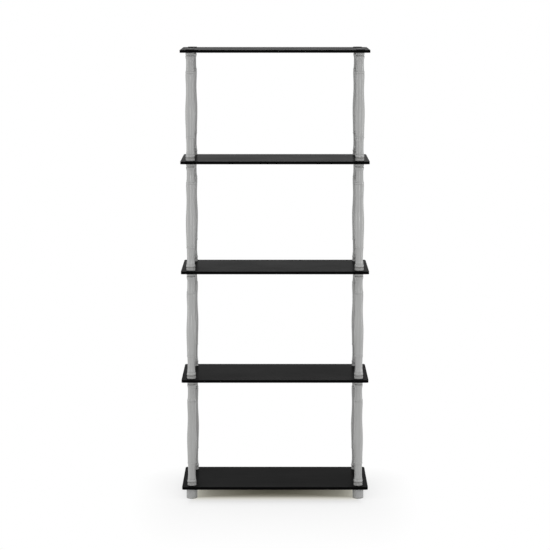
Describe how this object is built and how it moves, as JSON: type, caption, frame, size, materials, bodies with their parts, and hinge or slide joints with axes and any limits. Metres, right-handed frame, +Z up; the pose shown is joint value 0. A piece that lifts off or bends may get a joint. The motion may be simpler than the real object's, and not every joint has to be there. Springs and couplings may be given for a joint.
{
  "type": "tube shelf rack",
  "caption": "Free-standing open shelf rack: thin black boards stacked one above another on columns of grey turned tubes that screw together through the boards, on round feet.",
  "frame": {"origin": "on the floor, under the middle of the rack", "axes": "+Z up, +X to the right seen from the front, +Y from the front to the back"},
  "size_m": [0.6, 0.295, 1.4486],
  "materials": {
    "board": "black satin laminate",
    "edge_strip": "satin",
    "tube": "semi-gloss",
    "fitting": "satin",
    "foot": "satin",
    "cap": "satin"
  },
  "bodies": {
    "rack": {"shelf_board_1": "board", "edge_strip_front_1": "edge_strip", "edge_strip_back_1": "edge_strip", "edge_strip_left_1": "edge_strip", "edge_strip_right_1": "edge_strip", "shelf_board_2": "board", "edge_strip_front_2": "edge_strip", "edge_strip_back_2": "edge_strip", "edge_strip_left_2": "edge_strip", "edge_strip_right_2": "edge_strip", "shelf_board_3": "board", "edge_strip_front_3": "edge_strip", "edge_strip_back_3": "edge_strip", "edge_strip_left_3": "edge_strip", "edge_strip_right_3": "edge_strip", "shelf_board_4": "board", "edge_strip_front_4": "edge_strip", "edge_strip_back_4": "edge_strip", "edge_strip_left_4": "edge_strip", "edge_strip_right_4": "edge_strip", "shelf_board_5": "board", "edge_strip_front_5": "edge_strip", "edge_strip_back_5": "edge_strip", "edge_strip_left_5": "edge_strip", "edge_strip_right_5": "edge_strip", "stud_fittings_1": "fitting", "socket_fittings_1": "fitting", "tube_front_left_1": "tube", "tube_front_right_1": "tube", "tube_back_left_1": "tube", "tube_back_right_1": "tube", "stud_fittings_2": "fitting", "socket_fittings_2": "fitting", "tube_front_left_2": "tube", "tube_front_right_2": "tube", "tube_back_left_2": "tube", "tube_back_right_2": "tube", "stud_fittings_3": "fitting", "socket_fittings_3": "fitting", "tube_front_left_3": "tube", "tube_front_right_3": "tube", "tube_back_left_3": "tube", "tube_back_right_3": "tube", "stud_fittings_4": "fitting", "socket_fittings_4": "fitting", "tube_front_left_4": "tube", "tube_front_right_4": "tube", "tube_back_left_4": "tube", "tube_back_right_4": "tube", "foot_front_left": "foot", "foot_front_right": "foot", "foot_back_left": "foot", "foot_back_right": "foot"},
    "cap_front_left": {"cap_front_left": "cap"},
    "cap_front_right": {"cap_front_right": "cap"},
    "cap_back_left": {"cap_back_left": "cap"},
    "cap_back_right": {"cap_back_right": "cap"}
  },
  "joints": [
    {"name": "cap_front_left_lift", "type": "slide", "parent": "rack", "child": "cap_front_left", "axis": [0, 0, 1], "range_m": [0, 0.045]},
    {"name": "cap_front_right_lift", "type": "slide", "parent": "rack", "child": "cap_front_right", "axis": [0, 0, 1], "range_m": [0, 0.045]},
    {"name": "cap_back_left_lift", "type": "slide", "parent": "rack", "child": "cap_back_left", "axis": [0, 0, 1], "range_m": [0, 0.045]},
    {"name": "cap_back_right_lift", "type": "slide", "parent": "rack", "child": "cap_back_right", "axis": [0, 0, 1], "range_m": [0, 0.045]}
  ]
}
